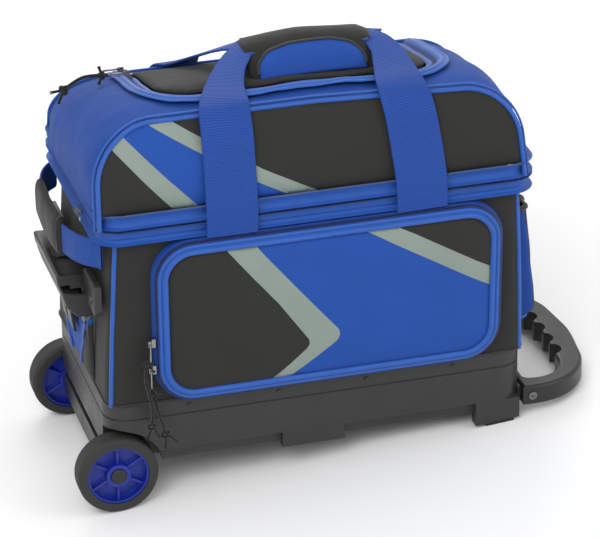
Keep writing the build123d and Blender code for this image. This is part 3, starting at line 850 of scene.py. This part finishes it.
def d_at(u):
    """The D outline's point and outward normal at a length along it."""
    k = int(np.clip(np.searchsorted(D_ALONG, u) - 1, 0, len(D_LINE) - 2))
    share = (u - D_ALONG[k]) / (D_ALONG[k + 1] - D_ALONG[k])
    share = min(1.0, max(0.0, share))
    point = D_LINE[k].lerp(D_LINE[k + 1], share)
    return point, D_NORMALS[k].lerp(D_NORMALS[k + 1], share).normalized()


def u_at(x):
    """The length along the D outline at an X on its top."""
    tops = [(p.x, a) for p, a in zip(D_LINE, D_ALONG) if p.y > 380]
    return float(np.interp(x, [t[0] for t in tops], [t[1] for t in tops]))


def fallen(point):
    """Lower a point of the upper compartment, whose top falls away to the rear.

    The ends draw in a little towards the rear as well."""
    past = point.y + 50
    drop = 0.1258 * (past + math.hypot(past, 34))
    narrow = 1 - 0.022 * max(0, (point.y - 30) / 100) ** 2
    height = point.z - LID_Z0
    return Vector((point.x * narrow, point.y, LID_Z0 + height * (1 - drop / 117)))


def hood(u, y, raised=0.0):
    """The gusset's surface: u runs over the D from left to right, y from front to back."""
    point, normal = d_at(u)
    z = point.y
    inward = min(y - front_y(z), rear_y(z) - y)
    full = 7.0 + 0.5 * max(0.0, normal.y) - 2.5 * max(0.0, normal.y) ** 4
    low = min(1.0, (z - LID_Z0) / 14)
    swell = puffed(max(0.0, inward), full - 3.0 * (1 - low), 20)
    swell += (ripple(u, y, 7, 60, 2.0) + ripple(u, y, 17, 22, 0.9)) * min(1, inward / 30) * low
    lift = swell + raised
    return fallen(Vector((point.x + normal.x * lift, y, z + normal.y * lift)))


ZIP_X0, ZIP_X1, ZIP_Y0, ZIP_Y1 = -166.0, 158.0, -66.0, 88.0
ZIP_R = 46


def u_path(inset, gap=5.0):
    """The U of the top zipper, moved inward by inset, as (u, y) points, from the left rear."""
    x0, x1, y0 = ZIP_X0 + inset, ZIP_X1 - inset, ZIP_Y0 + inset
    radius = ZIP_R - inset
    line = rounded(((x0, ZIP_Y1), (x0, y0), (x1, y0), (x1, ZIP_Y1)), (0, radius, radius, 0),
                   gap, closed=False)
    return [Vector((u_at(p.x), p.y)) for p in line]


def hood_stations(inset):
    """Stations along the U, across pointing away from the flap."""
    path = u_path(inset)
    normals = normals_2d(path, False)
    stations = []
    for point, out in zip(path, normals):
        here = hood(point.x, point.y)
        across = hood(point.x - out.x * 2, point.y - out.y * 2) - here
        across = across.normalized()
        along = hood(point.x - out.y, point.y + out.x) - here
        up = across.cross(along).normalized()
        if up.z < 0:
            up = -up
        stations.append((here, across, up))
    return stations


def add_hood():
    """The blue gusset over the ends and the top, open where the flap is."""
    end = D_ALONG[-1]
    foot = D_CORNERS[0][1]
    outline = [(u, front_y(d_at(u)[0].y)) for u in np.linspace(0, end, 120)]
    right = spaced(((end, front_y(foot)), (end, rear_y(foot))), 6)
    outline += [tuple(p) for p in right[1:-1]]
    outline += [(u, rear_y(d_at(u)[0].y)) for u in np.linspace(end, 0, 120)]
    left = spaced(((0, rear_y(foot)), (0, front_y(foot))), 6)
    outline += [tuple(p) for p in left[1:-1]]
    hole = u_path(3.0)
    hole += spaced([hole[-1], hole[0]], 5)[1:-1]
    shell = Cloth().fill(outline, lambda u, y, d, c: hood(u, y), 6.5, holes=[hole])
    made = piece("upper_gusset", shell, "lid", ["gusset"], thick=2.2,
                 lining="lining")
    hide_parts("lid_shell")
    edge = Cloth()
    for side in (-1, 1):
        line = []
        for point in D_LINE:
            y = front_y(point.y) if side < 0 else rear_y(point.y)
            line.append(fallen(Vector((point.x, y + side * 0.8, point.y))))
        edge.tube(line, 2.5)
        flange = []
        for normal, place in zip(D_NORMALS, line):
            outward = Vector((normal.x, 0, normal.y)) * 4.6
            flange.append(place + outward + Vector((0, -side * 3.4, 0)))
        edge.tube(flange, 1.3, sides=8)
    trim("upper_edge_piping", edge, "lid")
    hinge_line = [hood(u_at(x), ZIP_Y1, 1.0) for x in np.linspace(ZIP_X0 + 4, ZIP_X1 - 4, 60)]
    trim("flap_hinge_seam", Cloth().tube(hinge_line, 1.8, sides=8), "lid")


def add_top_zipper():
    """The zipper round the flap: a rim on the compartment, a coil, and a fuller rim on the flap."""
    outer = ((9.5, -0.3), (8.0, 0.9), (6.0, 1.9), (3.9, 2.0), (2.3, 1.1), (1.6, -0.6))
    inner = ((-1.4, -0.8), (-1.9, 1.0), (-2.6, 3.4), (-4.4, 5.4), (-7.0, 6.6), (-9.6, 6.4),
             (-11.2, 5.0), (-11.6, 4.4), (-12.2, 5.0), (-13.6, 5.8), (-15.2, 5.4), (-16.2, 4.0))
    stations = hood_stations(0)
    trim("top_zipper_rim", Cloth().strip(stations, outer), "lid")
    trim("flap_rim", Cloth().strip(stations, inner), "top_flap")
    for name, offset, owner in (("outer", 0.9, "lid"), ("inner", -0.9, "top_flap")):
        line = [p + a * offset + n * 0.7 for p, a, n in stations]
        trim("top_zipper_coil_" + name, Cloth().tube(line, 1.1, sides=8), owner, "coil")


def add_flap():
    """The black flap inside the top zipper, hinged along its rear edge."""
    outline = u_path(11.5)
    outline += spaced([outline[-1], outline[0]], 6)[1:-1]

    def place(u, y, edge, _seam):
        crease = ripple(u, y, 3, 44, 2.2) * min(1, edge / 20)
        return hood(u, y, 3.4 + puffed(edge, 3.6, 12) + crease)

    top = Cloth().fill(outline, place, 6.5)
    made = piece("flap_panel", top, "top_flap", ["black"], thick=3.2,
                 lining="lining")
    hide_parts("top_flap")


def side_of(points, line):
    """Which points lie above and to the right of a falling line."""
    xs = [p[0] for p in line]
    zs = [p[1] for p in line]
    return points[:, 1] > np.interp(points[:, 0], xs, zs)


LID_LINES = (((-246, 400), (-222.7, 376.7), (-162.6, 305.8), (-150, 291)),
             ((-224, 407), (-208, 386.4), (-134.4, 305.3), (-121, 291)),
             ((-215, 420), (-180.2, 396.6), (-67.3, 323.9), (-34.6, 304.7), (-10, 291)),
             ((-200, 425), (-154.3, 397.1), (-66, 340.9), (-1.4, 304.7), (23, 291)))
BLACK, BLUE, SILVER = 0, 1, 2
LID_ORDER = (BLACK, SILVER, BLUE, SILVER, BLACK)


def lid_look(points):
    """Which cloth of the upper front panel covers each point."""
    passed = sum(side_of(points, line).astype(int) for line in LID_LINES)
    return [LID_ORDER[count] for count in passed]


def seam_dent(near, deep=0.8):
    """How deep a seam pulls the cloth in at a distance from it."""
    return deep * math.exp(-(near / 1.6) ** 2)


def add_lid_panels():
    """The front and rear panels of the upper compartment."""
    outline = rounded(((-243.1, 306.3), *D_CORNERS[1:4], (227.0, 306.3)), D_RADII, 5)
    lines = [spaced(line, 5) for line in LID_LINES]

    def front(x, z, edge, seam):
        crease = ripple(x, z, 1, 52, 2.6) + ripple(x, z, 11, 20, 0.8)
        puff = puffed(edge, 6.5, 20) + crease * min(1, edge / 25)
        return fallen(Vector((x, front_y(z) - puff + seam_dent(seam), z)))

    def rear(x, z, edge, _seam):
        puff = puffed(edge, 5.0, 22) + ripple(x, z, 5, 52, 2.4) * min(1, edge / 25)
        return fallen(Vector((x, rear_y(z) + puff, z)))

    cloth = Cloth().fill(outline, front, 5.0, cuts=lines, look=lid_look)
    piece("upper_front_panel", cloth, "lid", ["black", "blue", "silver"],
          thick=2.4, lining="lining")
    piece("upper_rear_panel", Cloth().fill(outline, rear, 7), "lid", ["black"],
          thick=2.4, lining="lining")


add_hood()
add_top_zipper()
add_flap()
add_lid_panels()


# ---- front pocket --------------------------------------------------------------------
POCKET = ((-189, 79), (-189, 271), (203, 271), (200, 79))
POCKET_R = 44.0
POCKET_WALL = -125.0
POCKET_HEART = (7, -120, 175)


def pocket_line(inset):
    """The pocket's outline moved inward."""
    (x0, z0), _, (x1, z1), (x2, _) = POCKET
    low, high = z0 + inset, z1 - inset
    corners = ((x0 + inset, low), (x0 + inset, high), (x1 - inset, high), (x2 - inset, low))
    return rounded(corners, [POCKET_R - inset * 0.9] * 4)


def pocket_stations():
    """Stations round the pocket, across pointing outward and up pointing forward."""
    path = pocket_line(0)
    normals = normals_2d(path, True)
    return [(Vector((p.x, POCKET_WALL, p.y)), Vector((-n.x, 0, -n.y)), Vector((0, -1, 0)))
            for p, n in zip(path, normals)]


CHEVRON_OUT = ((-82, 263), (-67.4, 244.6), (-30.4, 198.5), (8.5, 151), (12.8, 146), (14.4, 139.5),
               (11.6, 132.7), (5, 127.6), (-10, 116.5), (-47.4, 89.3), (-62, 78.5))
CHEVRON_IN = ((-115, 263), (-102.6, 247.4), (-52.8, 185), (-23.6, 142.4), (-20.3, 137.7),
              (-19.8, 132), (-22.8, 127.1), (-28, 122.5), (-54, 99.5), (-68.8, 87.8), (-81, 78))
STRIPE_LOW = ((36, 262), (66.1, 244.1), (192.4, 167.5), (215, 153.8))
STRIPE_HIGH = ((69, 262), (100.9, 245.6), (194.4, 189.1), (215, 176.6))


def pocket_look(points):
    """Which cloth of the pocket panel covers each point."""
    left = [(-260, 78), (-260, 263)]
    looks = np.where(side_of(points, STRIPE_LOW), SILVER, BLUE)
    looks[side_of(points, STRIPE_HIGH)] = BLACK
    looks[holds([*CHEVRON_OUT, *left], points)] = SILVER
    looks[holds([*CHEVRON_IN, *left], points)] = BLACK
    return looks.tolist()


def add_pocket():
    """Front pocket: gusset, zipper, piping and the puffed panel."""
    stations = pocket_stations()
    gusset = ((0.6, -1.5), (1.0, 2.0), (0.6, 6.6), (0.1, 7.6), (0.4, 8.6), (-0.2, 9.7),
              (-1.4, 10.2))
    made = piece("pocket_gusset_cloth", Cloth().strip(stations, gusset, closed=True), "base",
                 ["gusset"], inside=POCKET_HEART)
    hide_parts("pocket_gusset")
    for name, across, up, owner in (("fixed", -1.9, 10.7, "base"),
                                    ("moving", -3.6, 12.4, "pocket_panel")):
        line = [p + a * across + n * up for p, a, n in stations]
        coil = Cloth().tube(line, 1.2, closed=True, sides=8)
        trim("pocket_coil_" + name, coil, owner, "coil")
    border = ((-4.2, 12.6), (-4.3, 14.2), (-5.4, 15.6), (-7.0, 15.7), (-8.2, 14.7), (-8.8, 14.2),
              (-9.4, 15.0), (-10.0, 16.9), (-11.8, 18.2), (-13.8, 17.9), (-15.2, 16.4),
              (-15.6, 15.0))
    piece("pocket_panel_border", Cloth().strip(stations, border, closed=True), "pocket_panel",
          ["piping"], inside=POCKET_HEART)
    outline = pocket_line(15.2)
    cuts = [spaced(line, 4) for line in (CHEVRON_OUT, CHEVRON_IN, STRIPE_LOW, STRIPE_HIGH)]

    def place(x, z, edge, seam):
        puff = puffed(edge, 5.6, 15) + ripple(x, z, 9, 48, 2.0) * min(1, edge / 25)
        return (x, POCKET_WALL - 15.4 - puff + seam_dent(seam), z)

    panel = Cloth().fill(outline, place, 4.5, cuts=cuts, look=pocket_look)
    made = piece("pocket_panel_cloth", panel, "pocket_panel",
                 ["black", "blue", "silver"], thick=2.4, lining="lining")
    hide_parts("pocket_panel")


add_pocket()


# ---- side pocket ---------------------------------------------------------------------
def add_side_pocket():
    """The open pocket on the plain end, gathered along its bound mouth."""
    rows, flat = [], []
    for k in range(33):
        t = k / 32
        z = 94 + 133 * t
        wall = 232.0 - 6.0 * (z - 76) / 205
        depth = 30 * math.sin(min(1.0, t * 9 + 0.4) * math.pi / 2) * (1 - 0.34 * t)
        face = wall + depth
        plan = rounded(((wall, -84), (face, -81), (face, 81), (wall, 84)), (0, 7, 7, 0), 3,
                       closed=False)
        reach = lengths(plan)
        row, cut = [], []
        for c in range(73):
            u = reach[-1] * c / 72
            x = float(np.interp(u, reach, [p.x for p in plan]))
            y = float(np.interp(u, reach, [p.y for p in plan]))
            share = (x - wall) / depth
            bulge = 5.0 * math.cos(y / 84 * math.pi / 2) * share
            gather = 1.3 * math.sin(y / 3.2) * max(0.0, (t - 0.72) / 0.28)
            crease = (gather + ripple(y, z, 2, 40, 3.0)) * share
            row.append(Vector((x + bulge + crease, y, z)))
            cut.append((u, z))
        rows.append(row)
        flat.append(cut)
    shell = Cloth().grid(rows, flat)
    middles = [sum((shell.points[i] for i in face), Vector()) / len(face) for face in shell.faces]
    shell.looks = [1 if abs(m.y) > 79 else 0 for m in middles]
    made = piece("side_pocket_cloth", shell, "base", ["black", "gusset"], thick=2.0,
                 lining="lining", inside=(200, 0, 150))
    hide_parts("side_pocket")
    lip = [p + Vector((-0.8, 0, 0.5)) for p in rows[-1]]
    binding("side_pocket_binding", Cloth().tube(lip, 3.0), "base")
    sides = Cloth()
    for c in (0, -1):
        sides.tube([row[c] for row in rows], 2.2)
    sides.tube([p + Vector((0.4, 0, 0)) for p in rows[0]], 2.2)
    trim("side_pocket_piping", sides, "base")


add_side_pocket()


# ---- handle cover --------------------------------------------------------------------
COVER = ((-66, 79), (-66, 158), (66, 158), (66, 79))
TRIANGLE = ((-69.3, 158), (69.3, 158), (17, 79), (-17, 79))


def add_handle_cover():
    """The cloth that hides the tubes, with its inverted triangle."""
    outline = rounded(COVER, (6, 6, 6, 6), 4)
    edges = [((side * 72, 162), (side * 14.4, 75)) for side in (-1, 1)]

    def place(y, z, edge, _seam):
        depth = 3.6 + 4.4 * (z - 78) / 81
        return (-242.0 - puffed(edge, depth, 7) - ripple(y, z, 4, 30, 1.4), y, z)

    def look(points):
        return holds(TRIANGLE, points).astype(int).tolist()

    cuts = [spaced(line, 4) for line in edges]
    cover = Cloth().fill(outline, place, 4, cuts=cuts, look=look)
    made = piece("handle_cover_cloth", cover, "base", ["black", "blue"],
                 thick=1.6, lining="lining", inside=(-200, 0, 120))
    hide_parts("handle_cover")
    piping = Cloth()
    for cut in cuts:
        inner = [place(p.x, p.y, 20, 0) for p in cut if 81 < p.y < 156]
        piping.tube([Vector(p) + Vector((-0.6, 0, 0)) for p in inner], 1.6, sides=8)
    trim("handle_cover_piping", piping, "base")


add_handle_cover()


# ---- carry straps --------------------------------------------------------------------
WEB_PROFILE = ((-0.5, 0.0), (-0.485, 1.1), (-0.46, 1.35), (-0.25, 1.4), (0.0, 1.45), (0.25, 1.4),
               (0.46, 1.35), (0.485, 1.1), (0.5, 0.0), (0.485, -1.1), (0.46, -1.3), (0.0, -1.35),
               (-0.46, -1.3), (-0.485, -1.1), (-0.5, 0.0))   # across in widths, up in mm
# (y, z) along each strap, then (x, width) along each leg.
STRAP_FRONT = ((136.4, 271.5), (137.2, 290), (136.6, 310), (130.8, 345), (123, 380), (113.5, 399),
               (97, 409), (66, 413), (38, 418.5), (14, 424), (8, 426))
STRAP_REAR = ((136.4, 271.5), (137.2, 290), (134.5, 306), (129.5, 325), (125, 343), (119, 357),
              (105, 371), (80, 384.5), (45, 405), (14, 422.5), (8, 426))
STRAP_LEFT = ((-101, 57), (-101, 57), (-101, 57), (-101, 57), (-101, 57), (-100.5, 56), (-97, 52),
              (-88, 42), (-75, 34), (-58, 30), (-44, 27))
STRAP_RIGHT = ((110, 57), (109.6, 57), (108.6, 57), (105, 57), (100.5, 56), (97, 55), (96, 52),
               (99, 44), (100, 36), (93, 31), (79, 27))


def strap_line(side, rises, runs):
    """Webbing through (y, z) and (x, width) pairs, as stations that carry their own width."""
    knots = [Vector((x, side * y, z)) for (y, z), (x, _) in zip(rises, runs)]
    points = curved(knots, 3.5)
    reach = lengths(knots)
    walked = lengths(points)
    stations = []
    for point, run, along in zip(points, headings(points), walked):
        width = float(np.interp(along / walked[-1] * reach[-1], reach, [w for _, w in runs]))
        lean = min(1.0, max(0.0, (124 - abs(point.y)) / 26))
        out = Vector((0, side * (1 - lean), lean + 0.02)).normalized()
        across = run.cross(out).normalized()
        stations.append((point, across * width, run.cross(across)))
    return stations


def add_straps():
    """Front and rear carry straps, each two legs and a bar inside the wrap."""
    for name, side, rises in (("front_strap", -1, STRAP_FRONT), ("rear_strap", 1, STRAP_REAR)):
        strap = Cloth()
        for runs in (STRAP_LEFT, STRAP_RIGHT):
            strap.strip(strap_line(side, rises, runs), WEB_PROFILE)
        bar = curved([(x, side * 8, z) for x, z in ((-46, 425.5), (18, 431), (81, 425.5))], 5)
        strap.strip([(p, Vector((0, 12, 0)), Vector((0, 0, 1))) for p in bar], WEB_PROFILE)
        made = piece(name + "_webbing", strap, name, ["webbing"], closed=True)
        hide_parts(name)
        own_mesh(made)


# ---- padded wraps --------------------------------------------------------------------
def crown(x):
    """How far the handle wrap's top line is above its highest point, 0 or less."""
    return 430.5 + 7.5 * (1 - ((x - 18) / 72) ** 2) - 438


def add_handle_wrap():
    """The padded wrap round the straps: black outside, with a blue faced front."""
    section = ((30, 410), (33, 415), (30, 423), (22, 431), (8, 436.5), (-6, 437.5), (-17, 434.5),
               (-24, 429), (-31, 421.5), (-37.5, 413), (-42, 405.5), (-39, 404.6), (-32, 413),
               (-24, 421), (-15, 427.5), (-4, 430.6), (8, 430), (19, 425), (26, 417),
               (28, 410.5), (30, 410))
    ring = curved([(0, y, z) for y, z in section], 2.5)
    around = lengths(ring)
    rows, flat = [], []
    for k in range(57):
        x = -53 + 142 * k / 56
        edge = min(1.0, (x + 53) / 12, (89 - x) / 12)
        pinch = 0.86 + 0.14 * math.sin(max(0.0, edge) * math.pi / 2)
        lift = crown(x)
        row = []
        for p in ring:
            y = p.y * pinch
            z = 424 + (p.z - 424) * pinch + lift * (0.35 + 0.65 * (p.z - 408) / 30)
            z += ripple(x, p.y, p.z, 26, 1.3)
            row.append(Vector((x, y, z)))
        rows.append(row)
        flat.append([(x, walked) for walked in around])
    shell = Cloth().grid(rows, flat).cap(rows[0]).cap(rows[-1])
    made = piece("handle_wrap_pad", shell, "front_strap", ["pad"], closed=True)
    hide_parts("handle_wrap")
    corners = ((-43, 0), (-43, 17), (-31, 30), (-6, 34), (42, 34), (65, 30), (77, 17), (77, 0))
    outline = rounded(corners, (3, 12, 20, 40, 40, 20, 12, 3), 3)
    cut = [Vector((x, 15)) for x in range(-60, 90, 4)]

    def place(x, v, edge, seam):
        puff = puffed(edge, 3.6, 5) - seam_dent(seam, 1.1) * min(1, edge / 5)
        y = -45.6 + 0.75 * v
        z = 405.6 + 0.8 * v + crown(x) * (0.35 + 0.65 * v / 34)
        return (x, y - puff * 0.75, z + puff * 0.6)

    def look(points):
        return (points[:, 1] < 15).astype(int).tolist()

    face = Cloth().fill(outline, place, 2.6, cuts=[cut], look=look)
    panel = piece("handle_wrap_face", face, "front_strap", ["blue", "gusset"],
                  thick=1.2, inside=(18, 40, 380))
    upper = [p for p in outline if p.y > 3]
    first = next(k for k, p in enumerate(upper) if (p - upper[k - 1]).length > 12)
    rim = Cloth().tube([Vector(place(p.x, p.y, 0, 9)) for p in upper[first:] + upper[:first]], 2.0)
    edging = binding("handle_wrap_binding", rim, "front_strap")
    for part in (made, panel, edging):
        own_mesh(part)


def add_end_loop():
    """The webbing grab loop on the wheel end and its padded wrap."""
    half = ((-238.5, 113), (-241.5, 105), (-252, 95), (-262, 76), (-269, 45))
    line = [(x, -y, 0) for x, y in half] + [(-271, 0, 0)] + [(x, y, 0) for x, y in half[::-1]]
    path = curved(line, 4)
    stations = []
    for point, run in zip(path, headings(path)):
        out = Vector((-run.y, run.x, 0))
        sag = -2.0 * math.cos(math.pi * point.y / 226)
        stations.append((point + Vector((0, 0, 255 + sag)), Vector((0, 0, 34)), out))
    loop = piece("end_loop_webbing", Cloth().strip(stations, WEB_PROFILE), "base",
                 ["webbing"], closed=True)
    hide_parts("end_loop")
    chosen = [s for s in stations if abs(s[0].y) < 56]
    ring = [(math.cos(t), math.sin(t)) for t in turns(28)]
    rows, flat = [], []
    for index, (point, _, out) in enumerate(chosen):
        end = min(1.0, index / 3, (len(chosen) - 1 - index) / 3)
        full = 0.55 + 0.45 * math.sqrt(max(0.0, end))
        row = []
        for c, s in ring:
            tall = 23 * math.copysign(abs(s) ** 0.7, s) * (0.88 + 0.12 * full)
            deep = 6.6 * math.copysign(abs(c) ** 0.8, c) * full
            deep += ripple(point.y, tall, c, 22, 0.8)
            row.append(point + Vector((0, 0, tall)) + out * deep)
        rows.append(row)
        flat.append([(point.y, 24 * t / 4.5) for t in range(29)])
    pad = Cloth().grid(rows, flat).cap(rows[0]).cap(rows[-1])
    made = piece("end_loop_pad", pad, "base", ["pad"], closed=True)
    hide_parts("end_loop_wrap")
    hem = Cloth()
    for row in (rows[1], rows[-2]):
        hem.tube(row[:-1], 1.3, closed=True, sides=8)
    binding("end_loop_binding", hem, "base")


add_straps()
add_handle_wrap()
add_end_loop()


# ---- inside --------------------------------------------------------------------------
def softened(name, node, body, look, voxel, rounds):
    """A soft copy of a plain CAD block: its edges rounded, its faces uneven."""
    source = frame["nodes"][node]
    obj = linked(name, source.data.copy())
    remesh = obj.modifiers.new("remesh", "REMESH")
    remesh.mode = "VOXEL"
    remesh.voxel_size = voxel / PER_METRE
    smooth = obj.modifiers.new("smooth", "SMOOTH")
    smooth.factor = 0.5
    smooth.iterations = rounds
    settle(obj)
    for vertex in obj.data.vertices:
        place = vertex.co * PER_METRE
        vertex.co += vertex.normal * ripple(*place, 18, 0.0006)
    obj.data.materials.clear()
    obj.data.materials.append(LOOKS[look])
    obj.data.polygons.foreach_set("use_smooth", [True] * len(obj.data.polygons))
    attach(obj, body)
    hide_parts(node)


softened("foam_cup_left", "foam_cradle_left", "base", "foam", 3.0, 4)
softened("foam_cup_right", "foam_cradle_right", "base", "foam", 3.0, 4)
softened("padded_divider", "ball_divider", "base", "foam", 1.8, 3)


# ---- studio --------------------------------------------------------------------------
FLOOR_HALF = 6.0
SKY = 0.85
LAMP_AIM = (0, 0, 0.2)
LAMPS = (("key", (-1.3, -2.2, 2.6), 1.8, 52), ("fill", (2.4, -1.8, 1.6), 2.2, 24),
         ("rim", (0.4, 2.4, 2.2), 1.6, 26))   # name, place, size and power


def add_studio():
    """A pale floor and soft light."""
    floor_mesh = bpy.data.meshes.new("floor")
    corners = [(x * FLOOR_HALF, y * FLOOR_HALF, 0) for x, y in ((-1, -1), (1, -1), (1, 1), (-1, 1))]
    floor_mesh.from_pydata(corners, [], [(0, 1, 2, 3)])
    floor = linked("floor", floor_mesh)
    graph = Graph("floor_paint", (0.86, 0.86, 0.86, 1), 0.75, specular=0.2)
    graph.tint(graph.spread(graph.cloud(graph.solid(), 900, 2), 0, 1), 0.99, 1.01)
    floor_mesh.materials.append(graph.material)
    world = bpy.data.worlds.new("studio")
    world.use_nodes = True
    sky = world.node_tree.nodes["Background"]
    sky.inputs["Color"].default_value = (1, 1, 1, 1)
    sky.inputs["Strength"].default_value = SKY
    bpy.context.scene.world = world
    for name, place, size, power in LAMPS:
        data = bpy.data.lights.new(name, "AREA")
        data.energy = power
        data.size = size
        lamp = linked(name, data)
        lamp.location = place
        aim = Vector(LAMP_AIM) - lamp.location
        lamp.rotation_euler = aim.to_track_quat("-Z", "Y").to_euler()


add_studio()
bpy.context.scene.view_settings.view_transform = "Standard"
